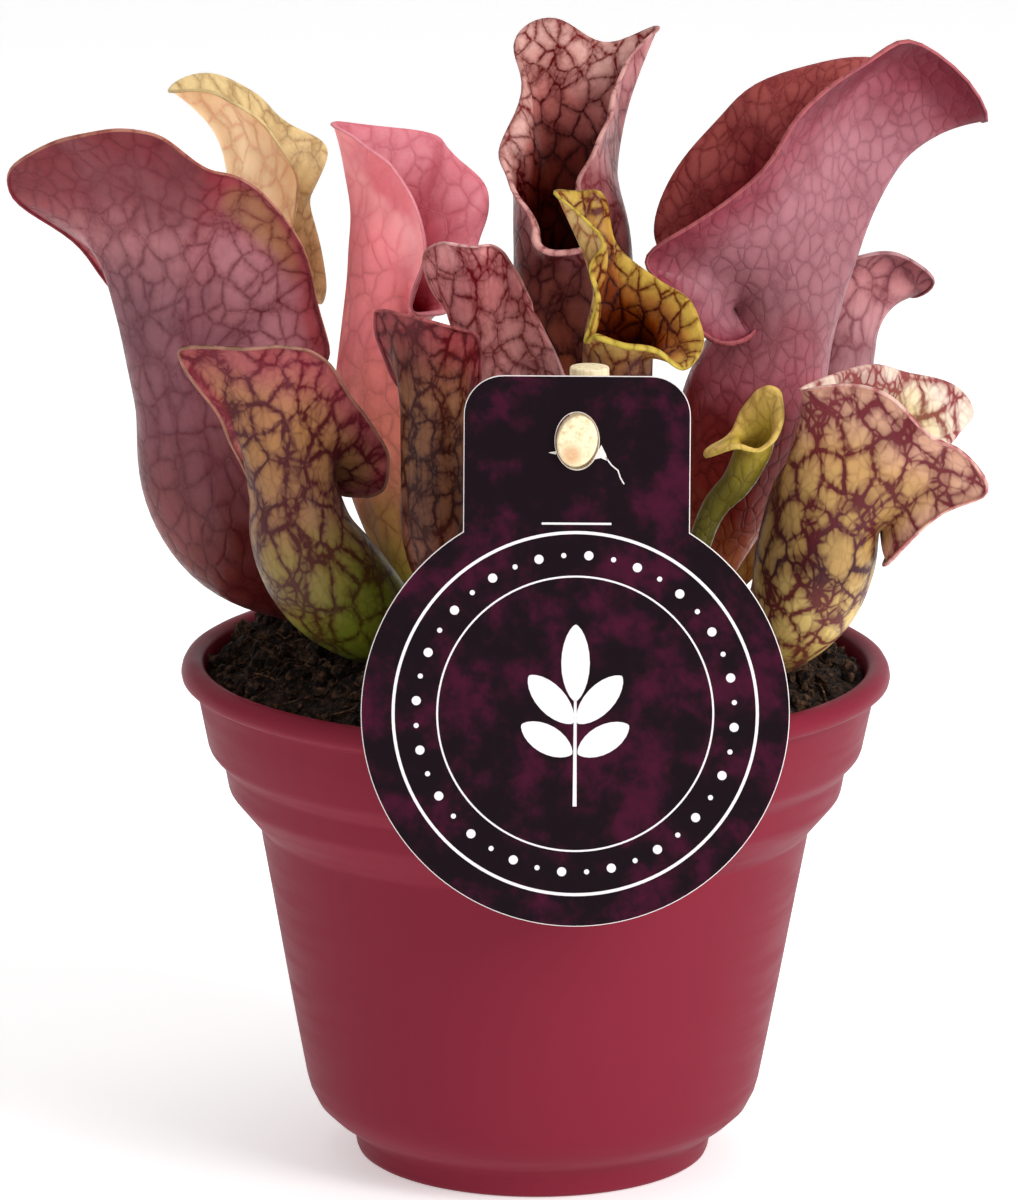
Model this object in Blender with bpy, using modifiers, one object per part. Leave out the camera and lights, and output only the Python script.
"""Potted pitcher plant: a plastic nursery pot of soil, twelve pitcher leaves, a hanging tag card and its stake.

Metres, +Z up. The origin is the centre of the pot's flat base. The front, where the tag card hangs, faces -Y.
"""

import math

import bmesh
import bpy
from mathutils import Vector

MM = 0.001

# ---------------------------------------------------------------- pot
POT_SEGMENTS = 72
POT_OUTER = [          # (radius, height) down the outside, mm
    (57.6, 86.8), (58.8, 86.6), (59.8, 85.6), (60.0, 84.4), (59.4, 83.2), (57.4, 82.4),
    (57.0, 79.0), (55.4, 71.5), (54.2, 69.2), (52.8, 67.8), (52.0, 64.5), (50.6, 61.6),
    (48.0, 59.2), (46.6, 57.0), (46.2, 54.5), (38.4, 12.0), (36.2, 8.2), (30.8, 4.2),
    (29.6, 3.2), (29.2, 2.0), (28.8, 0.6), (28.2, 0.0),
]
POT_INNER = [          # (radius, height) up the inside, mm
    (26.5, 1.6), (30.0, 4.8), (35.2, 9.4), (37.2, 12.6), (45.0, 54.7), (45.4, 57.4),
    (46.8, 60.2), (49.4, 62.6), (50.8, 65.2), (51.6, 68.7), (53.0, 70.2), (54.2, 72.0),
    (55.8, 79.2), (56.2, 85.0), (56.6, 86.2),
]
DRAIN_COUNT = 6
DRAIN_RADIUS = 3.5     # mm
DRAIN_CIRCLE = 17.0    # mm, radius of the ring of drainage holes

# ---------------------------------------------------------------- soil
SOIL_SIDE = [          # (radius, height) down the outside of the packed soil, mm
    (55.0, 80.5), (53.6, 73.0), (52.2, 70.6), (50.8, 68.8), (50.2, 65.6), (48.8, 63.2),
    (46.2, 60.8), (44.9, 57.8), (44.5, 55.0), (36.7, 12.9), (34.8, 10.0), (29.6, 5.6), (26.0, 2.2),
]
SOIL_EDGE = 84.0       # height of the surface at the wall, mm
SOIL_MOUND = 9.0       # how far the middle stands above the edge, mm
SOIL_RADIUS = 55.0     # mm
SOIL_RINGS = 7
SOIL_SEGMENTS = 40

# ---------------------------------------------------------------- tag card, stake and peg
CARD_THICK = 0.8       # mm
CARD_LEAN = 8.0        # degrees back from upright
DISC_RADIUS = 34.7     # mm
DISC_CENTRE = (6.2, 91.7)          # across and up, mm
TAB_WIDTH = 36.7       # mm
TAB_TOP = 54.7         # above the disc's centre, along the card, mm
TAB_CORNER = 6.5       # mm
HOLE_WIDTH = 7.4       # mm
HOLE_HEIGHT = 9.4      # mm
HOLE_UP = 44.1         # above the disc's centre, along the card, mm
CARD_BACK_AT_RIM = -60.4           # the back of the card level with the pot's rim, mm
STAKE_RADIUS = 3.2     # mm
STAKE_PLACE = (8.2, -44.6)         # mm
STAKE_BOTTOM = 62.0    # mm
STAKE_TOP = 145.8      # mm
SOCKET_GAP = 0.4       # clearance between the stake and the soil, mm
PEG_WIDTH = 6.6        # mm
PEG_HEIGHT = 8.6       # mm
PEG_PROUD = 1.2        # how far the peg stands in front of the card, mm

# ---------------------------------------------------------------- pitcher leaves
LEAF_THICK = 0.9       # mm
AROUND = 18            # columns round a leaf
TUBE_LEVELS = 7
HOOD_LEVELS = 5
CLEAR_OF_SOIL = 0.35   # mm
# Each leaf: "front" is the compass angle its mouth faces, in degrees from +X. "spine" runs from the
# base up to the throat as (x, y, z, half width, half depth). "rim" is the edge of the lip and hood,
# as (angle round the leaf from the front, x, y, z). "curl" says how far the hood turns outwards at
# its edge, as (angle, amount). All in mm and degrees.
LEAVES = {
    "pitcher_left_large": {
        "front": 80,
        "spine": [
            (-32.5, 10, 90.7, 2.6, 2.6),
            (-40, 8, 96, 6, 6),
            (-51, 6, 104, 9, 9),
            (-57, 5, 115.5, 10, 9.5),
            (-60, 4, 129.5, 7.8, 7.5),
        ],
        "rim": [
            (0, -59, 14, 137),
            (45, -67.5, 12, 142),
            (75, -77, 8, 155.5),
            (100, -88.5, -2, 166.5),
            (125, -83.5, -9, 174),
            (150, -74, -14, 178),
            (180, -63.5, -15, 178),
            (205, -55, -14, 172),
            (225, -48.5, -11, 169.5),
            (243, -40, -7, 159.5),
            (258, -38, 0, 148.5),
            (275, -35, 3, 138.5),
            (300, -40, 8, 134.5),
            (330, -50.5, 13, 134.5),
        ],
        "curl": [(0, 0.35), (60, 0.9), (100, 1.5), (140, 0.8), (180, 0.4), (260, 0.4), (300, 0.35)],
    },
    "pitcher_left_back": {
        "front": 0,
        "spine": [
            (-32, 20, 90.0, 2.4, 2.4),
            (-35.5, 21, 98, 4.5, 4.5),
            (-41.5, 23, 112, 6.5, 6.5),
            (-45, 25, 125.5, 7, 7),
            (-46.5, 26, 141, 6.6, 6.4),
        ],
        "rim": [
            (0, -37.5, 28, 142.5),
            (20, -37, 32, 146),
            (50, -39.5, 36, 158),
            (80, -36.5, 38, 166.5),
            (110, -43.5, 38, 171),
            (140, -49.5, 36, 177),
            (165, -57, 32, 180.5),
            (190, -62.5, 27, 178.5),
            (215, -55, 22, 179),
            (240, -47, 18, 174.5),
            (268, -41, 17, 165.5),
            (300, -42, 19, 156),
            (330, -40.5, 24, 145),
        ],
        "curl": [(0, 0.35), (150, 0.5), (190, 1.2), (230, 0.5), (300, 0.35)],
    },
    "pitcher_coral": {
        "front": 0,
        "spine": [
            (-19, 0, 92.7, 2.4, 2.4),
            (-23, 1, 106.5, 5, 5),
            (-26, 3, 118, 6.5, 6.5),
            (-27, 4, 130, 7.2, 7.2),
            (-26, 5, 141, 7.6, 7.2),
        ],
        "rim": [
            (0, -15, 10, 145),
            (20, -13, 14, 148.5),
            (50, -10, 18, 155.5),
            (80, -9, 20, 163),
            (105, -14.5, 20, 168.5),
            (135, -18, 18, 172.5),
            (165, -28, 14, 174.5),
            (190, -34.5, 9, 176),
            (212, -31.5, 5, 174.5),
            (240, -25.5, 0, 171),
            (265, -21, -3, 165),
            (287, -19, -4, 156.5),
            (310, -21.5, -3, 147),
            (335, -18.5, 2, 145),
        ],
        "curl": [(0, 0.35)],
    },
    "pitcher_dark_front": {
        "front": 90,
        "spine": [
            (-12.5, -27, 91.4, 2.4, 2.4),
            (-14, -28, 103, 4.5, 4.5),
            (-16, -29, 113.5, 6.2, 6),
            (-16.5, -29, 123.5, 6, 5.8),
            (-17, -29, 134.5, 5.6, 5.4),
        ],
        "rim": [
            (0, -17.5, -19, 135),
            (45, -21.5, -21, 136.5),
            (75, -24.5, -24, 141.5),
            (105, -26.5, -27, 150.5),
            (140, -22.5, -32, 151.5),
            (180, -18, -35, 151),
            (215, -13.5, -34, 149.5),
            (245, -10.5, -31, 147.5),
            (280, -10, -25, 139.5),
            (320, -13, -21, 135.5),
        ],
        "curl": [(0, 0.35)],
    },
    "pitcher_mauve_folded": {
        "front": 100,
        "spine": [
            (0.5, -12, 93.3, 2.4, 2.4),
            (1.5, -12, 113, 5, 5),
            (0, -11, 124.5, 7, 6.5),
            (-2.5, -10, 134.5, 7.6, 7),
            (-6.5, -8, 143.5, 7.2, 6.6),
        ],
        "rim": [
            (0, -6.5, 2, 144.5),
            (50, -12.5, -1, 144.5),
            (80, -15.5, -5, 148),
            (105, -19, -9, 156),
            (130, -16.5, -12, 159.5),
            (160, -11, -15, 159.5),
            (190, -7.5, -14, 159.5),
            (215, -5, -12, 156.5),
            (245, -2, -8, 150),
            (290, -1.5, -2, 145.5),
        ],
        "curl": [(0, 0.35)],
    },
    "pitcher_tall_centre": {
        "front": 270,
        "spine": [
            (4, 12, 93.2, 2.6, 2.6),
            (5, 14, 103.5, 5, 5),
            (6, 16, 119, 8, 8),
            (6.5, 18, 132.5, 10, 9),
            (6, 19, 149.5, 10.2, 9),
        ],
        "rim": [
            (0, 3.5, 8, 154.5),
            (25, 10, 9, 156.5),
            (50, 6.5, 10, 165.5),
            (75, 10.5, 13, 172.5),
            (100, 12.5, 20, 178.5),
            (125, 15, 27, 184),
            (145, 20.5, 34, 189),
            (165, 11.5, 37, 185),
            (190, 2.5, 41, 189),
            (215, -4, 40, 185.5),
            (235, -2.5, 34, 179),
            (255, -6, 26, 169),
            (280, -4.5, 18, 164),
            (310, -0.5, 11, 159),
            (335, 0, 8, 156),
        ],
        "curl": [(0, 0.35)],
    },
    "pitcher_small_centre": {
        "front": 275,
        "spine": [
            (11.5, -20, 92.3, 2.2, 2.2),
            (12, -21, 111.5, 3.5, 3.5),
            (12.5, -22, 124, 4.8, 4.8),
            (13, -24, 134.5, 5.6, 5.4),
            (13, -26, 143.5, 5.8, 5.6),
        ],
        "rim": [
            (0, 13.5, -33, 147),
            (35, 19, -32, 146),
            (65, 23.5, -31, 143),
            (90, 26.5, -28, 146.5),
            (115, 24.5, -25, 152.5),
            (140, 18.5, -22, 156),
            (162, 12, -20, 161.5),
            (178, 10.5, -19, 169.5),
            (192, 6, -20, 169.5),
            (204, 2.5, -22, 170),
            (220, 6.5, -25, 167),
            (240, 10.5, -28, 163),
            (260, 8.5, -29, 158.5),
            (278, 10, -31, 153.5),
            (300, 8, -32, 147.5),
            (330, 9.5, -33, 148.5),
        ],
        "curl": [(0, 0.35)],
    },
    "pitcher_right_large": {
        "front": 165,
        "spine": [
            (25.5, 3, 91.9, 3.2, 3),
            (28, 5, 104.5, 7, 7.5),
            (32.5, 6, 118, 10.5, 10.5),
            (36.4, 6, 130, 12, 11.8),
            (40.5, 6, 143, 10.8, 9.5),
        ],
        "rim": [
            (0, 33.5, 12, 143.5),
            (18, 37.5, 4, 145.5),
            (32, 35.5, -5, 142.5),
            (48, 28.5, -9, 143),
            (64, 21.5, -11, 152),
            (80, 17.5, -11, 157.5),
            (95, 27, -13, 164),
            (110, 37.5, -13, 172.5),
            (124, 42, -11, 180.5),
            (142, 54, -6, 189.5),
            (155, 61, -2, 193),
            (168, 72, 2, 184.5),
            (178, 75, 5, 176.5),
            (192, 68, 10, 182.5),
            (210, 58, 14, 186.5),
            (228, 47.5, 19, 185),
            (246, 36, 23, 180),
            (262, 29, 25, 172.5),
            (280, 23, 25, 164.5),
            (300, 20, 23, 156),
            (322, 23, 20, 150),
            (342, 28, 17, 145),
        ],
        "curl": [(0, 0.35), (60, 0.6), (90, 0.5), (130, 0.4), (160, 1), (178, 1.7), (200, 1.2), (240, 0.5), (300, 0.35)],
    },
    "pitcher_right_back": {
        "front": 150,
        "spine": [
            (29, 22, 90.2, 2.4, 2.4),
            (36, 23, 100, 4.5, 4.5),
            (44.5, 25, 113.5, 6.5, 6.5),
            (49.5, 26, 124, 7, 7),
            (51.5, 27, 134.5, 6.6, 6.4),
        ],
        "rim": [
            (0, 45, 31, 138),
            (45, 43.5, 25, 143.5),
            (90, 47, 20, 149.5),
            (125, 54, 20, 151.5),
            (150, 61, 22, 152),
            (172, 67.5, 25, 147),
            (190, 64, 29, 143),
            (215, 59, 33, 146.5),
            (245, 54, 37, 147.5),
            (285, 48, 38, 142.5),
            (320, 45.5, 36, 138.5),
        ],
        "curl": [(0, 0.35), (130, 0.8), (172, 1.5), (215, 0.8), (300, 0.35)],
    },
    "pitcher_right_front": {
        "front": 25,
        "spine": [
            (34.5, -16, 89.9, 2.6, 2.6),
            (38.5, -18, 93, 6, 6),
            (44, -21, 101.5, 9, 9),
            (46, -23, 109, 10.2, 10),
            (47, -24, 115.5, 10.4, 9.4),
        ],
        "rim": [
            (0, 60, -20, 113.5),
            (28, 64.5, -13, 122),
            (55, 69.5, -8, 127),
            (80, 72.5, -5, 130.5),
            (105, 69, -6, 135),
            (130, 61.5, -10, 137.5),
            (155, 54, -18, 140.5),
            (178, 43, -29, 138.5),
            (205, 48.5, -34, 140.5),
            (232, 56.5, -38, 140),
            (255, 63.5, -40, 133.5),
            (275, 69.5, -40, 130.5),
            (290, 73.5, -37, 123.5),
            (310, 65.5, -34, 119.5),
            (335, 57.5, -29, 110),
        ],
        "curl": [(0, 0.35), (200, 0.3), (255, 0.8), (290, 1.2), (330, 0.5)],
    },
    "pitcher_young": {
        "front": 190,
        "spine": [
            (22.5, -19, 91.5, 1.4, 1.4),
            (28, -21, 114.5, 2, 2),
            (33, -23, 122, 2.6, 2.6),
            (35.5, -24, 127.5, 3.2, 3),
        ],
        "rim": [
            (0, 28, -24, 127.5),
            (40, 32.5, -27, 129),
            (90, 36.5, -28, 128.5),
            (135, 39.5, -27, 132),
            (165, 39.5, -24, 137),
            (200, 37, -22, 137.5),
            (250, 34, -20, 133.5),
            (310, 32, -21, 129.5),
        ],
        "curl": [(0, 0.35)],
    },
    "pitcher_left_front": {
        "front": 120,
        "spine": [
            (-17.5, -15, 92.3, 2.8, 2.8),
            (-25, -17, 95.5, 7.2, 7.2),
            (-33, -19, 102.5, 9.6, 9.4),
            (-38.5, -20, 110.5, 9, 8.8),
            (-40.5, -20, 119.5, 7.4, 7.2),
        ],
        "rim": [
            (0, -39.5, -10, 119.5),
            (30, -45.5, -14, 117.5),
            (55, -49, -21, 125.5),
            (85, -54, -27, 136.5),
            (108, -59, -30, 145),
            (135, -49.5, -31, 145.5),
            (165, -41, -30, 145.5),
            (195, -35.5, -27, 143),
            (222, -30, -22, 134),
            (250, -25.5, -17, 126),
            (280, -26, -13, 118.5),
            (325, -32, -9, 117),
        ],
        "curl": [(0, 0.35), (80, 0.7), (108, 0.9), (150, 0.5), (240, 0.5), (300, 0.35)],
    },
}

COLOURS = {            # base colour (linear), roughness
    "pot": ((0.262, 0.040, 0.068), 0.42),
    "soil": ((0.018, 0.013, 0.010), 0.95),
    "tag_card": ((0.030, 0.010, 0.024), 0.45),
    "stake": ((0.640, 0.480, 0.290), 0.65),
    "peg": ((0.700, 0.540, 0.330), 0.65),
    "pitcher_left_large": ((0.240, 0.055, 0.085), 0.42),
    "pitcher_left_back": ((0.520, 0.400, 0.170), 0.45),
    "pitcher_coral": ((0.620, 0.150, 0.150), 0.40),
    "pitcher_dark_front": ((0.130, 0.035, 0.045), 0.42),
    "pitcher_mauve_folded": ((0.300, 0.090, 0.120), 0.42),
    "pitcher_tall_centre": ((0.170, 0.035, 0.045), 0.40),
    "pitcher_small_centre": ((0.330, 0.270, 0.060), 0.42),
    "pitcher_right_large": ((0.300, 0.075, 0.110), 0.40),
    "pitcher_right_back": ((0.380, 0.150, 0.160), 0.42),
    "pitcher_right_front": ((0.290, 0.220, 0.080), 0.42),
    "pitcher_young": ((0.260, 0.340, 0.050), 0.45),
    "pitcher_left_front": ((0.200, 0.160, 0.050), 0.42),
}


def clear_scene():
    for item in list(bpy.data.objects):
        bpy.data.objects.remove(item, do_unlink=True)


def make_collection(name, hidden=False):
    group = bpy.data.collections.new(name)
    bpy.context.scene.collection.children.link(group)
    group.hide_render = hidden
    return group


def make_material(name):
    colour, roughness = COLOURS[name]
    material = bpy.data.materials.new(name)
    material.use_nodes = True
    shader = material.node_tree.nodes["Principled BSDF"]
    shader.inputs["Base Color"].default_value = (*colour, 1.0)
    shader.inputs["Roughness"].default_value = roughness
    shader.inputs["Metallic"].default_value = 0.0
    material.diffuse_color = (*colour, 1.0)
    return material


def add_object(name, mesh, group, material=None):
    item = bpy.data.objects.new(name, mesh)
    group.objects.link(item)
    if material is not None:
        mesh.materials.append(material)
    return item


def mesh_from(bm, name):
    bmesh.ops.recalc_face_normals(bm, faces=bm.faces)
    mesh = bpy.data.meshes.new(name)
    bm.to_mesh(mesh)
    bm.free()
    return mesh


def spun_profile(name, points, segments):
    """Closed solid from a (radius, height) outline turned round +Z, its two flat ends filled."""
    bm = bmesh.new()
    verts = [bm.verts.new((radius * MM, 0.0, height * MM)) for radius, height in points]
    edges = [bm.edges.new((verts[i], verts[i + 1])) for i in range(len(verts) - 1)]
    bmesh.ops.spin(
        bm, geom=verts + edges, cent=(0, 0, 0), axis=(0, 0, 1),
        angle=2 * math.pi, steps=segments, use_merge=True,
    )
    bmesh.ops.remove_doubles(bm, verts=bm.verts, dist=0.00001)
    bmesh.ops.holes_fill(bm, edges=bm.edges, sides=segments)
    return mesh_from(bm, name)


def cutter(name, bm, group):
    item = add_object(name, mesh_from(bm, name), group)
    item.display_type = "WIRE"
    item.hide_render = True
    return item


def boolean(item, tool, operation):
    mod = item.modifiers.new(operation.lower() + "_" + tool.name, "BOOLEAN")
    mod.operation = operation
    mod.solver = "EXACT"
    mod.object = tool
    return mod


def rod(radius_x, radius_y, length, segments):
    """Upright round or oval bar, its lower end at the origin, in mm."""
    bm = bmesh.new()
    bmesh.ops.create_cone(
        bm, cap_ends=True, segments=segments, radius1=MM, radius2=MM, depth=length * MM,
    )
    bmesh.ops.translate(bm, verts=bm.verts, vec=(0, 0, length * MM / 2))
    bmesh.ops.scale(bm, verts=bm.verts, vec=(radius_x, radius_y, 1.0))
    return bm


def soil_height(x, y):
    """Height of the soil's surface in mm above a place given in mm."""
    share = max(0.0, 1.0 - (math.hypot(x, y) / SOIL_RADIUS) ** 2)
    return SOIL_EDGE + SOIL_MOUND * share ** 0.8


# ---------------------------------------------------------------- leaf surface
def spine_at(points, t):
    """Catmull-Rom curve through the spine at t = 0 .. len(points) - 1."""
    i = min(int(t), len(points) - 2)
    f = t - i
    before = Vector(points[i - 1]) if i > 0 else 2 * Vector(points[0]) - Vector(points[1])
    here = Vector(points[i])
    there = Vector(points[i + 1])
    if i + 2 < len(points):
        after = Vector(points[i + 2])
    else:
        after = 2 * there - here
    straight = (there - before) * f
    bend = (2 * before - 5 * here + 4 * there - after) * f * f
    twist = (3 * here - before - 3 * there + after) * f ** 3
    return (2 * here + straight + bend + twist) * 0.5


def rim_at(rim, angle):
    """Smooth closed curve through the rim's points at an angle round the leaf."""
    count = len(rim)
    i = max(k for k in range(count) if rim[k][0] <= angle + 1e-9)

    def knot(k):
        turns, place = divmod(k, count)
        return rim[place][0] + 360 * turns, Vector(rim[place][1:])

    a0, p0 = knot(i - 1)
    a1, p1 = knot(i)
    a2, p2 = knot(i + 1)
    a3, p3 = knot(i + 2)
    span = a2 - a1
    f = (angle - a1) / span
    m1 = (p2 - p0) * (span / (a2 - a0))
    m2 = (p3 - p1) * (span / (a3 - a1))
    start = (2 * f ** 3 - 3 * f * f + 1) * p1 + (f ** 3 - 2 * f * f + f) * m1
    return start + (3 * f * f - 2 * f ** 3) * p2 + (f ** 3 - f * f) * m2


def curl_at(curl, angle):
    """How far the hood turns outwards at an angle round the leaf."""
    knots = [(curl[-1][0] - 360, curl[-1][1])] + curl + [(curl[0][0] + 360, curl[0][1])]
    for (a0, c0), (a1, c1) in zip(knots, knots[1:]):
        if a0 <= angle <= a1:
            return c0 + (c1 - c0) * (angle - a0) / (a1 - a0)
    return curl[0][1]


def spine_frame(leaf, t):
    """Tangent, front and side directions of the leaf's tube at t."""
    spine = leaf["spine"]
    last = len(spine) - 1
    low = spine_at(spine, max(0.0, t - 0.001))
    high = spine_at(spine, min(float(last), t + 0.001))
    tangent = Vector((high - low)[:3]).normalized()
    turn = math.radians(leaf["front"])
    front = Vector((math.cos(turn), math.sin(turn), 0.0))
    front = (front - tangent * front.dot(tangent)).normalized()
    return tangent, front, tangent.cross(front)


def leaf_rings(leaf):
    """Rings of points in mm, from the base of the tube up to the rim of the hood."""
    spine = leaf["spine"]
    last = len(spine) - 1
    angles = [360.0 * k / AROUND for k in range(AROUND)]
    rings = []
    for level in range(TUBE_LEVELS):
        t = last * level / (TUBE_LEVELS - 1)
        x, y, z, wide, deep = spine_at(spine, t)
        tangent, front, side = spine_frame(leaf, t)
        ring = []
        for angle in angles:
            turn = math.radians(angle)
            point = Vector((x, y, z)) + side * (wide * math.sin(turn)) + front * (deep * math.cos(turn))
            point.z = max(point.z, soil_height(point.x, point.y) + CLEAR_OF_SOIL)
            ring.append(point)
        rings.append(ring)
    tangent, front, side = spine_frame(leaf, float(last))
    hood = [[] for _ in range(HOOD_LEVELS)]
    for angle, start in zip(angles, rings[-1]):
        turn = math.radians(angle)
        outward = side * math.sin(turn) + front * math.cos(turn)
        end = rim_at(leaf["rim"], angle)
        way = end - start
        curl = curl_at(leaf["curl"], angle)
        leaving = (way.normalized() + outward * curl).normalized()
        first = start + tangent * min(0.45 * way.length, 20.0)
        second = end - leaving * min(0.34 * way.length * (1 + 0.25 * max(0.0, curl - 0.35)), 18.0)
        for level in range(HOOD_LEVELS):
            s = (level + 1) / HOOD_LEVELS
            near = start * (1 - s) ** 3 + first * (3 * s * (1 - s) ** 2)
            far = second * (3 * s * s * (1 - s)) + end * s ** 3
            hood[level].append(near + far)
    return rings + hood


def make_leaf(name, leaf, group, parent):
    """One pitcher: a closed shell, open at the mouth and capped where it leaves the soil."""
    bm = bmesh.new()
    rows = [[bm.verts.new(point * MM) for point in ring] for ring in leaf_rings(leaf)]
    for low, high in zip(rows, rows[1:]):
        for k in range(AROUND):
            n = (k + 1) % AROUND
            bm.faces.new((low[k], low[n], high[n], high[k]))
    bm.faces.new(rows[0][::-1])
    mesh = bpy.data.meshes.new(name)
    bm.to_mesh(mesh)
    bm.free()
    item = add_object(name, mesh, group, make_material(name))
    item.parent = parent
    shell = item.modifiers.new("wall", "SOLIDIFY")
    shell.thickness = leaf.get("wall", LEAF_THICK) * MM
    shell.offset = -1.0
    shell.use_even_offset = False
    shell.use_rim = True
    for poly in item.data.polygons:
        poly.use_smooth = True
    return item


# ---------------------------------------------------------------- pot, soil, card and stake
def make_pot(group, cutters):
    outline = POT_INNER + POT_OUTER
    pot = add_object("pot", spun_profile("pot", outline, POT_SEGMENTS), group, make_material("pot"))
    for k in range(DRAIN_COUNT):
        turn = 2 * math.pi * (k + 0.5) / DRAIN_COUNT
        tool = cutter("drain_%d" % (k + 1), rod(DRAIN_RADIUS, DRAIN_RADIUS, 4.0, 20), cutters)
        tool.location = (DRAIN_CIRCLE * math.cos(turn) * MM, DRAIN_CIRCLE * math.sin(turn) * MM, -MM)
        boolean(pot, tool, "DIFFERENCE")
    return pot


def make_soil(group, cutters):
    top = []
    for k in range(1, SOIL_RINGS + 1):
        radius = SOIL_RADIUS * (k - 0.6) / (SOIL_RINGS - 0.6)
        top.append((radius, soil_height(radius, 0.0)))
    outline = top + SOIL_SIDE
    mesh = spun_profile("soil", outline, SOIL_SEGMENTS)
    soil = add_object("soil", mesh, group, make_material("soil"))
    reach = STAKE_RADIUS + SOCKET_GAP
    tool = cutter("stake_socket", rod(reach, reach, 60.0, 24), cutters)
    tool.location = (STAKE_PLACE[0] * MM, STAKE_PLACE[1] * MM, (STAKE_BOTTOM - SOCKET_GAP) * MM)
    boolean(soil, tool, "DIFFERENCE")
    return soil


def card_outline():
    """Outline of the tag card in its own plane, in mm, from the disc's centre."""
    points = []
    half = TAB_WIDTH / 2
    meet = math.asin(half / DISC_RADIUS)
    steps = 64
    for k in range(steps + 1):
        turn = meet + (2 * math.pi - 2 * meet) * k / steps
        points.append((DISC_RADIUS * math.sin(turn), DISC_RADIUS * math.cos(turn)))
    for centre, start in ((-half + TAB_CORNER, math.pi), (half - TAB_CORNER, math.pi / 2)):
        for k in range(7):
            turn = start - (math.pi / 2) * k / 6
            up = TAB_TOP - TAB_CORNER + TAB_CORNER * math.sin(turn)
            points.append((centre + TAB_CORNER * math.cos(turn), up))
    return points


def make_card(group, cutters, frame):
    bm = bmesh.new()
    verts = [bm.verts.new((x * MM, 0.0, z * MM)) for x, z in card_outline()]
    face = bm.faces.new(verts)
    grown = bmesh.ops.extrude_face_region(bm, geom=[face])["geom"]
    front = [item for item in grown if isinstance(item, bmesh.types.BMVert)]
    bmesh.ops.translate(bm, verts=front, vec=(0, -CARD_THICK * MM, 0))
    card = add_object("tag_card", mesh_from(bm, "tag_card"), group, make_material("tag_card"))
    card.parent = frame
    tool = cutter("tag_hole", rod(HOLE_WIDTH / 2, HOLE_HEIGHT / 2, 6.0, 32), cutters)
    tool.parent = frame
    tool.rotation_euler = (math.radians(90), 0, 0)
    tool.location = (0, 3 * MM, HOLE_UP * MM)
    boolean(card, tool, "DIFFERENCE")
    return card


def make_stake(group):
    length = STAKE_TOP - STAKE_BOTTOM
    bm = rod(STAKE_RADIUS, STAKE_RADIUS, length, 24)
    rims = [e for e in bm.edges if len(e.link_faces) == 2 and any(len(f.verts) > 4 for f in e.link_faces)]
    bmesh.ops.bevel(bm, geom=rims, offset=0.5 * MM, segments=2, profile=0.5, affect="EDGES")
    stake = add_object("stake", mesh_from(bm, "stake"), group, make_material("stake"))
    stake.location = (STAKE_PLACE[0] * MM, STAKE_PLACE[1] * MM, STAKE_BOTTOM * MM)
    return stake


def make_peg(group, frame):
    """Oval peg from the front of the stake, through the hole in the card."""
    lean = math.radians(CARD_LEAN)
    back = (STAKE_PLACE[1] - STAKE_RADIUS - 0.3 - CARD_BACK_AT_RIM) - math.sin(lean) * HOLE_UP
    back -= (DISC_CENTRE[1] - SOIL_EDGE) * math.tan(lean)
    length = back + CARD_THICK + PEG_PROUD - 0.4
    bm = rod(PEG_WIDTH / 2, PEG_HEIGHT / 2, length, 28)
    rims = [e for e in bm.edges if any(len(f.verts) > 4 for f in e.link_faces)]
    bmesh.ops.bevel(bm, geom=rims, offset=0.35 * MM, segments=2, profile=0.5, affect="EDGES")
    peg = add_object("peg", mesh_from(bm, "peg"), group, make_material("peg"))
    peg.parent = frame
    peg.rotation_euler = (math.radians(-90), 0, 0)
    peg.location = (0, -(CARD_THICK + PEG_PROUD) * MM, HOLE_UP * MM)
    return peg


def main():
    clear_scene()
    group = make_collection("potted_pitcher_plant")
    cutters = make_collection("cutters", hidden=True)
    plant = bpy.data.objects.new("plant", None)
    group.objects.link(plant)

    make_pot(group, cutters)
    make_soil(group, cutters)

    lean = math.radians(CARD_LEAN)
    frame = bpy.data.objects.new("card_frame", None)
    group.objects.link(frame)
    back = CARD_BACK_AT_RIM + (DISC_CENTRE[1] - SOIL_EDGE) * math.tan(lean)
    frame.location = (DISC_CENTRE[0] * MM, back * MM, DISC_CENTRE[1] * MM)
    frame.rotation_euler = (-lean, 0, 0)
    make_card(group, cutters, frame)
    make_stake(group)
    make_peg(group, frame)

    for name, leaf in LEAVES.items():
        make_leaf(name, leaf, group, plant)


main()
